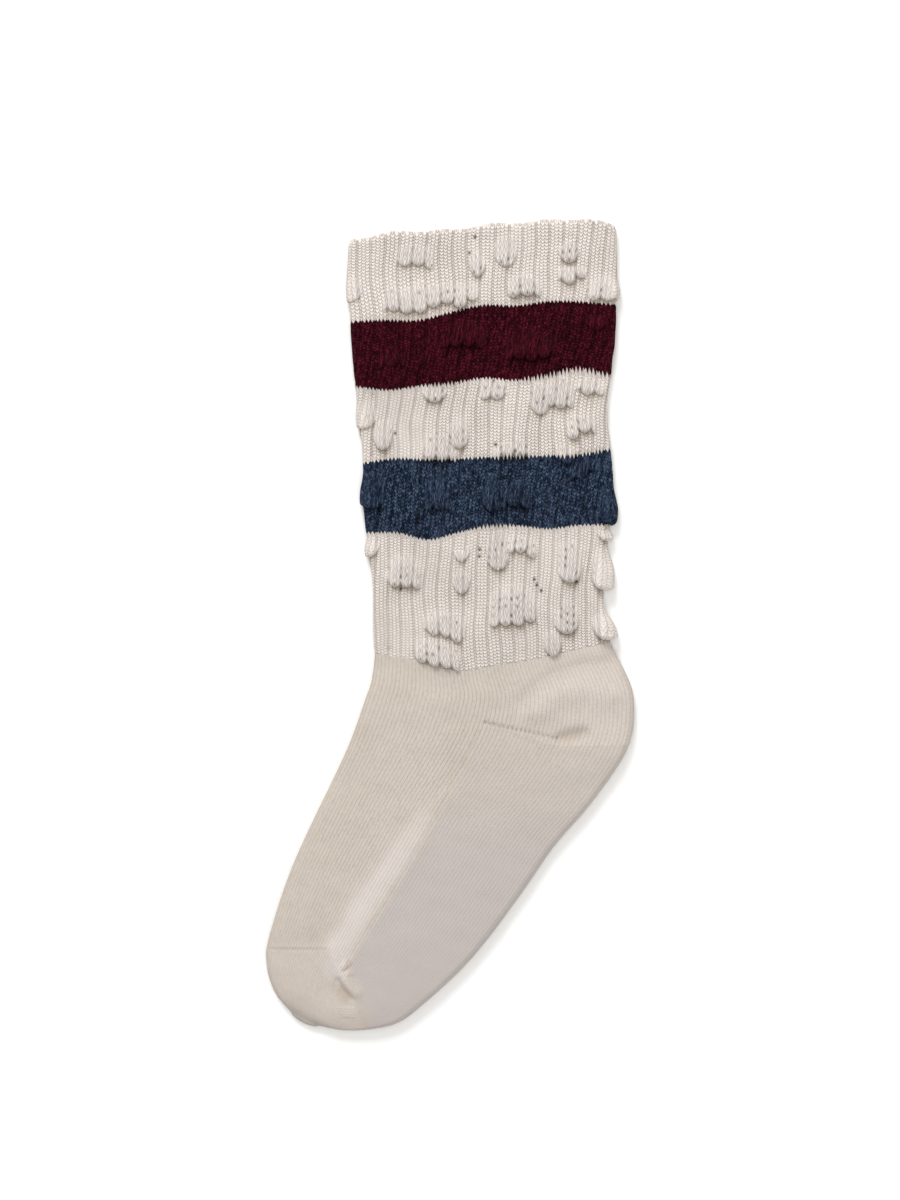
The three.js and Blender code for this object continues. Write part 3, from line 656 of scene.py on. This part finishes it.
def yarn_material(yarn: Yarn) -> bpy.types.Material:
    """Builds the knitted yarn's material from wale and course coordinates.

    Args:
        yarn: the finish.

    Returns:
        A material whose V stitches, heather and depth are all procedural.
    """
    made = bpy.data.materials.new(yarn.name)
    made.use_nodes = True
    tree = made.node_tree
    shader = tree.nodes["Principled BSDF"]
    for socket, value in (
        ("Roughness", 0.95), ("IOR", 1.45), ("Specular IOR Level", 0.06),
        ("Sheen Weight", yarn.sheen), ("Sheen Roughness", 0.6),
    ):
        shader.inputs[socket].default_value = value
    place = node(tree, "ShaderNodeTexCoord").outputs["Object"]
    fibres = fibre_noise(tree, place, (2600.0, 1000.0, 1800.0), 4.0, 0.65)
    streaks = fibre_noise(tree, place, (1300.0, 480.0, 900.0), 3.0, 0.7)
    patches = node(tree, "ShaderNodeTexNoise", {"Scale": 60.0, "Detail": 3.0}, {"Vector": place}).outputs[0]
    painted_light, puff, sole, painted_shade, hole = (
        node(tree, "ShaderNodeAttribute", {"attribute_name": name}).outputs["Fac"]
        for name in ("painted_light", "puff", "sole", "painted_shade", "hole")
    )
    knit = node(tree, "ShaderNodeUVMap", {"uv_map": "knit"})
    split = node(tree, "ShaderNodeSeparateXYZ", {}, {0: knit.outputs[0]})
    wander = node(tree, "ShaderNodeTexNoise", {"Scale": 420.0, "Detail": 2.0}, {"Vector": place}).outputs[0]
    nudge = math_node(tree, "MULTIPLY_ADD", wander, 0.4, -0.2)
    centred = math_node(tree, "SUBTRACT", math_node(tree, "FRACT", split.outputs[0]), 0.5)
    s = math_node(tree, "MULTIPLY", math_node(tree, "ABSOLUTE", centred), 2.0)
    notch = math_node(
        tree, "MULTIPLY_ADD", math_node(tree, "POWER", s, 3.0), -0.3 * yarn.rows, -0.7 * yarn.rows
    )
    edge = math_node(tree, "MULTIPLY_ADD", math_node(tree, "POWER", s, 6.0), -0.5, 1.0)
    whole_wale = math_node(tree, "FLOOR", split.outputs[0])
    turned = math_node(tree, "SINE", math_node(tree, "MULTIPLY", whole_wale, WALE_TURN))
    shift = math_node(tree, "MULTIPLY", turned, OUT_OF_LINE)
    half_wale = math_node(tree, "FLOOR", math_node(tree, "MULTIPLY", split.outputs[0], 2.0))
    heights, cells = [], []
    for stitch in (TIGHT, LOOSE):
        at = math_node(tree, "MULTIPLY_ADD", split.outputs[1], stitch.size, nudge)
        climb = math_node(tree, "ADD", math_node(tree, "MULTIPLY_ADD", s, stitch.lean, at), shift)
        phase = math_node(tree, "FRACT", climb)
        cell = node(tree, "ShaderNodeCombineXYZ", {}, {0: half_wale, 1: math_node(tree, "FLOOR", climb)})
        noise = node(
            tree, "ShaderNodeTexWhiteNoise", {"noise_dimensions": "2D"}, {"Vector": cell.outputs[0]}
        )
        cells.append(noise.outputs[0])
        p = math_node(tree, "MULTIPLY_ADD", phase, 2.0, -1.0)
        ends = math_node(tree, "POWER", math_node(tree, "ABSOLUTE", p), stitch.sharp)
        strand = math_node(tree, "MULTIPLY_ADD", ends, notch, 1.0)
        heights.append(math_node(tree, "MULTIPLY", strand, edge))
    apart = math_node(tree, "SUBTRACT", heights[1], heights[0])
    height = math_node(tree, "MULTIPLY_ADD", apart, puff, heights[0])
    one = math_node(tree, "MULTIPLY_ADD", math_node(tree, "SUBTRACT", cells[1], cells[0]), puff, cells[0])
    blend = math_node(tree, "MULTIPLY_ADD", streaks, 0.35, math_node(tree, "MULTIPLY", fibres, 0.5))
    mixed = math_node(tree, "MULTIPLY_ADD", one, 0.15, blend)
    heather = node(
        tree, "ShaderNodeMapRange", {1: 0.6 - yarn.heather / 2, 2: 0.62, 3: 0.0, 4: 1.0}, {0: mixed}
    ).outputs[0]
    lit = mix_colour(tree, math_node(tree, "MULTIPLY", puff, 0.8), linear(yarn.base), linear(yarn.puffed))
    lit = mix_colour(tree, heather, lit, linear(yarn.fleck))
    lit = mix_colour(tree, math_node(tree, "MULTIPLY", patches, 0.2), lit, linear(yarn.deep))
    lit = mix_colour(tree, math_node(tree, "MULTIPLY", sole, 0.8), lit, linear(yarn.cushion))
    lit = mix_colour(tree, math_node(tree, "MULTIPLY", sole, -1.0), lit, linear(yarn.puffed))
    # Painted shade in streaks between the loose strands of a puff
    strand_gap_shade = node(tree, "ShaderNodeMapRange", {1: 0.38, 2: 0.56, 3: 0.34, 4: 0.0}, {0: streaks}).outputs[0]
    lit = mix_colour(tree, math_node(tree, "MULTIPLY", strand_gap_shade, puff), lit, linear(yarn.deep))
    shown = math_node(tree, "MULTIPLY", math_node(tree, "MULTIPLY_ADD", puff, -0.25, 1.0), yarn.clear)
    smoother = math_node(tree, "MULTIPLY_ADD", math_node(tree, "ABSOLUTE", sole), -0.3, 1.0)
    shown = math_node(tree, "MULTIPLY", shown, smoother)
    shown = math_node(tree, "MULTIPLY", shown, math_node(tree, "MULTIPLY_ADD", patches, 0.8, 0.6))
    # Painted shade in the gaps between the strands of each stitch, together with the painted light and shade
    # of grooves and creases
    dots = node(tree, "ShaderNodeMapRange", {1: 0.1, 2: 0.95, 3: 0.0, 4: 1.0}, {0: height}).outputs[0]
    gap = math_node(tree, "MULTIPLY", math_node(tree, "SUBTRACT", 1.0, dots), shown)
    depth = math_node(tree, "MULTIPLY", math_node(tree, "SUBTRACT", 1.0, gap), painted_light)
    surface = math_node(tree, "MULTIPLY_ADD", fibres, 0.35, math_node(tree, "MULTIPLY", height, shown))
    colour = mix_colour(tree, depth, linear(yarn.deep), lit)
    # Painted shadow in the hollows at the puffs' lips and in the foot's deepest creases
    colour = mix_colour(tree, painted_shade, colour, linear(yarn.shade))
    # Painted shade in the small holes and pinholes
    colour = mix_colour(tree, hole, colour, linear(HOLE_SHADE_COLOUR))
    tree.links.new(colour, shader.inputs["Base Color"])
    bump = node(tree, "ShaderNodeBump", {"Strength": 1.0, "Distance": yarn.bump}, {"Height": surface})
    tree.links.new(bump.outputs[0], shader.inputs["Normal"])
    return made


# Pieces


@dataclass(frozen=True)
class Band:
    """One knitted stretch of the sock.

    Args:
        piece: the piece's name.
        cad: the CAD node that it replaces.
        start: the section where it starts.
        end: the section where it ends.
        yarn: its finish.
        slot: the record's material slot; not used.
        flat: the cloth's flat width and length in metres, all round the tube.
    """

    piece: str
    cad: str
    start: str
    end: str
    yarn: Yarn
    slot: str
    flat: tuple


BANDS = (
    Band("cuff_knit", "cuff", "rim", "red_top", CREAM_RIB, "cream_rib_knit", (0.236, 0.062)),
    Band(
        "burgundy_knit", "burgundy_band", "red_top", "red_end", BURGUNDY, "burgundy_rib_knit", (0.232, 0.031)
    ),
    Band("calf_knit", "calf", "red_end", "blue_top", CREAM_RIB, "cream_rib_knit", (0.222, 0.034)),
    Band("blue_knit", "blue_band", "blue_top", "blue_end", BLUE, "blue_rib_knit", (0.22, 0.033)),
    Band("shin_knit", "shin", "blue_end", "ankle", CREAM_RIB, "cream_rib_knit", (0.212, 0.055)),
)


def grid_object(name: str, points: np.ndarray, uv: np.ndarray, shades: dict, material) -> bpy.types.Object:
    """Makes a smooth mesh of quads from a grid of points that closes round its columns.

    Args:
        name: the object's name.
        points: rows by columns by 3, in millimetres in the tables' plan coordinates.
        uv: rows by columns plus one by 2, wale and course.
        shades: numbers for the material at each point, by attribute name, rows by columns.
        material: the finish.

    Returns:
        The new object, in metres.
    """
    rows, columns = points.shape[:2]
    r, c = np.meshgrid(np.arange(rows - 1), np.arange(columns), indexing="ij")
    n = (c + 1) % columns
    quads = np.stack([r * columns + c, (r + 1) * columns + c, (r + 1) * columns + n, r * columns + n], -1)
    corners = np.stack([uv[r, c], uv[r + 1, c], uv[r + 1, c + 1], uv[r, c + 1]], -2)
    place = (points.reshape(-1, 3) - np.array([*ORIGIN, 0.0])) * MM
    faces = quads.size // 4
    mesh = bpy.data.meshes.new(name)
    mesh.vertices.add(len(place))
    mesh.vertices.foreach_set("co", place.astype(np.float32).ravel())
    mesh.loops.add(quads.size)
    mesh.loops.foreach_set("vertex_index", quads.astype(np.int32).ravel())
    mesh.polygons.add(faces)
    mesh.polygons.foreach_set("loop_start", np.arange(0, quads.size, 4, dtype=np.int32))
    mesh.polygons.foreach_set("use_smooth", np.ones(faces, bool))
    mesh.uv_layers.new(name="knit").data.foreach_set("uv", corners.astype(np.float32).ravel())
    for key, values in shades.items():
        layer = mesh.attributes.new(key, "FLOAT", "POINT")
        layer.data.foreach_set("value", values.astype(np.float32).ravel())
    mesh.update(calc_edges=True)
    mesh.validate()
    mesh.materials.append(material)
    made = bpy.data.objects.new(name, mesh)
    bpy.context.scene.collection.objects.link(made)
    return made


@dataclass
class Leg:
    """The ribbed leg: five stretches of one tube.

    Args:
        tube: the sections.
        relief: what stands out of the knit.
        stitch: height of the V stitches, in millimetres.
        tooth: how far a colour runs into the next at each wale, in millimetres.
        rim_turn: how deep the welt shows inside the mouth, in section rows.
    """

    tube: Tube
    relief: Relief
    stitch: float = 0.26
    tooth: float = 1.5
    rim_turn: float = 1.6
    made: list = field(default_factory=list)

    def columns(self) -> np.ndarray:
        """Spreads columns round the tube by rib count, on the wales where the ribs can show."""
        cloth, gauge = self.tube.cloth, self.tube.gauge
        sunk = np.linspace(-gauge.sunk / 2, gauge.sunk / 2, 4, endpoint=False)
        face = np.linspace(gauge.sunk / 2, 1 - gauge.sunk / 2, (gauge.wales - 1) * cloth.fine, endpoint=False)
        one = np.concatenate([sunk, face])
        fine = (np.arange(-3, 21)[:, None] + one[None, :]).ravel()
        coarse = np.arange(21, gauge.ribs_around - 3 - 0.1, 1 / cloth.coarse)
        return np.concatenate([fine, coarse])

    def surface(self, places: np.ndarray, turn: np.ndarray, inset, push, plain) -> dict:
        """Works out the cloth's points.

        Args:
            places: place along the tube for each row.
            turn: rib count of each column, as one row.
            inset: how far inside the outer face each row runs, as a share of the wall.
            push: how far each row is moved up the leg, in millimetres.
            plain: 1 for rows with no relief, 0 for rows with all of it.

        Returns:
            Points, uv and shades.
        """
        tube, relief, gauge = self.tube, self.relief, self.tube.gauge
        inset, push, plain = inset[:, None], push[:, None], plain[:, None]
        s = tube.at(places)
        left, right = tube.count(s, np.zeros_like(s["run"])), tube.count(s, np.ones_like(s["run"]))
        turn = np.where(turn < left, turn + gauge.ribs_around, turn + 0 * left)
        under = turn > right
        back = 1 - (turn - right) / (left + gauge.ribs_around - right)
        share = clamp01(np.where(under, back, tube.share(s, turn)))
        inward = inset * (s["fold"] - tube.cloth.slit) / 2
        crown = 1 - (1 - tube.cloth.inner_crown) * inset
        a, z, out_a, out_z = tube.ring(s, share, under, inward, crown)
        edge = np.minimum(share, 1 - share) * s["run"]
        drift = 0.4 * np.sin(places[:, None] * 2.1 + 1.3) * np.sin(turn * 0.9)
        drift = drift + 0.25 * np.sin(places[:, None] * 4.3 + turn * 0.5)
        a = a + np.where(under, 0.0, drift * smooth(edge / 9))
        x, y = tube.plan(s, a)
        shown = np.where(under, 1 - smooth(edge / s["quarter"]), 1.0) * (1 - plain)
        wale = relief.wale(turn)
        course = tube.distance(places)[:, None] / gauge.course + 0 * wale
        face = relief.ribs(turn)
        lift, slump, puff, pins = relief.puffs(x, y, turn)
        pins = pins * smooth((edge - 3) / 5)
        # Small holes: they sink the cloth, and the material paints shade into them
        holes = np.maximum(relief.holes(x, y, PINHOLES, 0.6, 0.8), 0.8 * pins)
        # Painted shadow under each puff's lip and just above its top
        painted_shade = relief.lip_shadows(x, y, turn) * (1 - puff)
        ankle = tube.row("ankle")
        fade = smooth((tube.distance(np.array([float(ankle)])) - tube.distance(places)) / 6)[:, None]
        raised = gauge.relief * (face * (1 - 0.85 * puff) + 0.45 * puff) * fade
        small, long = relief.stitches(wale, course, TIGHT), relief.stitches(wale, course, LOOSE)
        near = 0.25 + 0.75 * smooth((edge - 1) / 6)
        knit = self.stitch * (0.3 + 0.7 * face) * (0.3 + 0.7 * fade)
        raised = raised + knit * (small * (1 - puff) + 1.5 * long * puff * near)
        raised = raised + lift + relief.folds(x, y, LEG_CREASES) - 1.3 * holes + 0.15 * relief.uneven(x, y)
        raised = raised * shown - 0.4 * smooth((places[:, None] - ankle + 0.02) / 0.04)
        cx, cy = s["across"]
        zig = (1 - np.abs((wale - np.floor(wale)) * 2 - 1) - 0.5) * face
        lumps = 1.5 * face - 0.9 + 0.8 * np.sin(turn * 1.7 + 0.6)
        mouth = np.exp(-tube.distance(places) / 2.5)[:, None] * lumps
        teeth = (self.tooth + relief.folds(x, y, SPIKES)) * zig * shown
        move = push + mouth * (1 - under) - slump * shown - teeth * self.near_colour(places)[:, None]
        x, y = x + cx * out_a * raised - cy * move, y + cy * out_a * raised + cx * move
        z = np.maximum(z + out_z * raised, 0.0)
        # Painted shade in each rib's groove, weaker on puffs, and an even painted shade over the hidden
        # underside
        groove = np.minimum(turn - np.floor(turn), 1 - turn + np.floor(turn))
        painted_light = 1 - 0.27 * np.exp(-((groove / 0.07) ** 2)) * (1 - 0.6 * puff)
        uv = np.stack([wale, course], -1)
        return {
            "points": np.stack([x, y, z], -1),
            "uv": np.concatenate([uv, uv[:, :1]], 1),
            "shades": {
                "painted_light": np.where(under, 0.9, painted_light), "puff": puff * shown * near, "sole": 0 * painted_light,
                "painted_shade": 0.6 * painted_shade * shown, "hole": 0.85 * holes * shown,
            },
        }

    def near_colour(self, places: np.ndarray) -> np.ndarray:
        """Tells how near each place is to a colour change, where single stitches show as teeth."""
        changes = self.tube.distance(np.array([self.tube.row(band.start) for band in BANDS[1:]]))
        far = np.min(np.abs(self.tube.distance(places)[:, None] - changes[None, :]), axis=1)
        return 1 - smooth(far / 3)

    def build(self) -> None:
        """Makes every stretch, from the welt at the mouth down to the foot."""
        columns = self.columns()[None, :]
        for band in BANDS:
            start, end = self.tube.row(band.start), self.tube.row(band.end)
            lip = 0.08 if band.start == "rim" else 0.0
            tuck = 0.05 if band.end == "ankle" else 0.0
            places = self.tube.places(start + lip, end + tuck, self.tube.cloth.leg_row)
            inset, push, plain = (np.zeros(len(places)) for _ in range(3))
            if band.start == "rim":
                inner = self.tube.places(lip, self.rim_turn, 1.5)[::-1]
                phase = np.linspace(math.pi, 0, 10)[1:-1]
                fade = clamp01(1 - (places - lip) / 0.06)
                places = np.concatenate([inner, np.full(len(phase), lip), places])
                inset = np.concatenate([np.ones(len(inner)), (1 - np.cos(phase)) / 2, inset])
                push = np.concatenate([np.zeros(len(inner)), 1.3 * np.sin(phase), push])
                plain = np.concatenate([np.ones(len(inner)), np.full(len(phase), 0.8), 0.8 * fade])
            made = self.surface(places, columns, inset, push, plain)
            material = yarn_material(band.yarn)
            piece = grid_object(band.piece, made["points"], made["uv"], made["shades"], material)
            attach(piece, "root")
            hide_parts(band.cad)
            self.made.append((piece, band.flat))
            LOG.info("%s: %d faces", band.piece, len(piece.data.polygons))


@dataclass
class Foot:
    """The smooth foot: ankle, heel pocket, instep, cushioned sole and closed toe in one piece.

    Args:
        tube: the sections.
        relief: what stands out of the knit.
        top_columns: columns over the visible side.
        under_columns: columns over the underside.
        stitch: height of its fine stitches, in millimetres.
        closing: how far the last rows round over the toe, in millimetres.
    """

    tube: Tube
    relief: Relief
    top_columns: int = 236
    under_columns: int = 60
    stitch: float = 0.06
    closing: float = 1.7
    made: list = field(default_factory=list)

    def build(self) -> None:
        """Makes the foot."""
        tube, relief = self.tube, self.relief
        start, end = tube.row("ankle"), tube.row("toe_tip")
        places = tube.places(start, end, tube.cloth.foot_row)
        phase = np.linspace(0, math.pi / 2, 7)[1:]
        scale = np.concatenate([np.ones(len(places)), np.cos(phase)])[:, None]
        push = np.concatenate([np.zeros(len(places)), self.closing * np.sin(phase)])[:, None]
        places = np.concatenate([places, np.full(len(phase), float(end))])
        s = tube.at(places)
        top = np.linspace(0, 1, self.top_columns, endpoint=False)
        below = np.linspace(1, 0, self.under_columns, endpoint=False)
        share = np.concatenate([top, below])[None, :] + 0 * s["run"]
        under = np.broadcast_to(np.arange(share.shape[1]) >= self.top_columns, share.shape)
        a, z, out_a, out_z = tube.ring(s, share, under, 0.0, 1.0)
        a = s["width"] / 2 + (a - s["width"] / 2) * scale
        z = s["fold"] / 2 + (z - s["fold"] / 2) * scale
        x, y = tube.plan(s, a)
        wale = np.where(under, 2 - share, share) * tube.gauge.foot_wales
        course = (tube.distance(places)[:, None] + push) / tube.gauge.foot_course + 0 * wale
        shown = np.where(under, 0.0, clamp01(out_z))
        holes = relief.holes(x, y, GORE_HOLES, 0.45, 0.55)
        raised = relief.folds(x, y, FOOT_FOLDS) - 0.6 * holes + 0.18 * relief.uneven(x, y)
        raised = (raised + self.stitch * relief.stitches(wale, course, TIGHT)) * shown
        sole, ridge = self.sole(x, y), self.ridge(x, y)
        cx, cy = s["across"]
        x = x + cx * out_a * raised + cy * push
        y = y + cy * out_a * raised - cx * push
        z = np.maximum(z + out_z * raised, 0.0)
        # Painted shade in the creases and painted light on the ridges of the foot's folds, and painted shade
        # in the gore's holes
        painted_light = (0.88 + 0.12 * smooth(0.5 + relief.folds(x, y, FOOT_FOLDS) / 2.4)) * (1 - 0.6 * holes)
        pale = np.maximum(0.6 * ridge, 0.2 * smooth((-136 - y) / 12) * (1 - sole))
        pale = np.maximum(pale, 0.25 * smooth((x - 20) / 30) * smooth((y + 75) / 25))
        # Painted brown shadow in the deepest creases of the toe and the heel
        crease_shadow = clamp01(relief.folds(x, y, FOOT_SHADOWS)) * (1 - under)
        shade = np.where(pale > sole, -pale, sole) * (1 - under)
        shades = {"painted_light": painted_light, "puff": 0 * painted_light, "sole": shade, "painted_shade": crease_shadow, "hole": 0.25 * holes}
        uv = np.stack([wale, course], -1)
        close = np.stack([np.full(len(places), 2.0 * tube.gauge.foot_wales), course[:, 0]], -1)[:, None]
        points, uv = np.stack([x, y, z], -1), np.concatenate([uv, close], 1)
        piece = grid_object("foot_knit", points, uv, shades, yarn_material(CREAM_FOOT))
        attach(piece, "root")
        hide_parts("foot")
        self.made.append((piece, (0.215, 0.19)))
        LOG.info("foot_knit: %d faces", len(piece.data.polygons))

    def sole(self, x: np.ndarray, y: np.ndarray) -> np.ndarray:
        """Tells how much a point is on the greyer, cushioned side, right of the line along the foot."""
        line = np.array(SOLE_LINE)
        edge = np.interp(y, line[:, 1], line[:, 0])
        soft = 4 + 10 * smooth((-150 - y) / 12)
        grey = 0.35 * smooth((-44 - y) / 14) + 0.65 * smooth((-56 - y) / 60)
        return smooth((x - edge + soft / 4) / soft) * grey

    def ridge(self, x: np.ndarray, y: np.ndarray) -> np.ndarray:
        """Tells how much a point is on the paler band along the cushion's edge."""
        return clamp01(self.relief.folds(x, y, PALE_BAND) * 1.2) * smooth((-66 - y) / 40)


# The studio


@dataclass(frozen=True)
class Studio:
    """Pale floor, soft light and the camera straight above.

    Args:
        pixel: millimetres for each pixel of the photo.
        size: the photo's width and height in pixels.
        middle: the photo's middle in the tables' plan coordinates.
        height: the camera's height over the floor, in metres.
    """

    pixel: float = 0.44
    size: tuple = (900, 1200)
    middle: tuple = (0.0, 11.0)
    height: float = 1.6

    def build(self) -> None:
        """Makes the floor, the lights and the camera."""
        bpy.ops.mesh.primitive_plane_add(size=6, location=(0, 0, -0.0002))
        floor = bpy.context.object
        floor.name = "floor"
        paper = bpy.data.materials.new("pale_paper")
        paper.use_nodes = True
        shader = paper.node_tree.nodes["Principled BSDF"]
        shader.inputs["Base Color"].default_value = linear("#f4f3f1")
        shader.inputs["Roughness"].default_value = 0.9
        floor.data.materials.append(paper)
        for name, place, width, power in (
            ("key", (-0.9, 2.6, 2.1), 1.6, 100.0),
            ("fill", (0.9, -1.6, 1.6), 1.4, 18.0),
            ("over", (0.0, 0.1, 2.2), 1.8, 16.0),
        ):
            light = bpy.data.lights.new(name, "AREA")
            light.shape, light.size, light.energy = "SQUARE", width, power
            lamp = bpy.data.objects.new(name, light)
            lamp.location = place
            lamp.rotation_euler = self.aim(place)
            bpy.context.scene.collection.objects.link(lamp)
        world = bpy.data.worlds.new("studio")
        world.use_nodes = True
        world.node_tree.nodes["Background"].inputs[0].default_value = linear("#ffffff")
        world.node_tree.nodes["Background"].inputs[1].default_value = 0.42
        scene = bpy.context.scene
        scene.world = world
        scene.view_settings.view_transform = "Standard"
        lens = bpy.data.cameras.new("camera")
        lens.sensor_fit, lens.sensor_height = "VERTICAL", 36.0
        lens.lens = 36.0 * self.height / (self.size[1] * self.pixel * MM)
        camera = bpy.data.objects.new("camera", lens)
        camera.location = ((self.middle[0] - ORIGIN[0]) * MM, (self.middle[1] - ORIGIN[1]) * MM, self.height)
        scene.collection.objects.link(camera)
        scene.camera = camera

    @staticmethod
    def aim(place: tuple) -> tuple:
        """Gives the turn that points a lamp from its place at the origin."""
        x, y, z = place
        return (math.atan2(math.hypot(x, y), z), 0.0, math.atan2(y, x) + math.pi / 2)


def main() -> None:
    """Builds the sock and its studio in order."""
    logging.basicConfig(level=logging.INFO, format="%(message)s")
    gauge, cloth = Gauge(), Cloth()
    tube, relief = Tube(gauge, cloth), Relief(gauge)
    leg, foot = Leg(tube, relief), Foot(tube, relief)
    leg.build()
    foot.build()
    Studio().build()


if __name__ == "__main__":
    main()
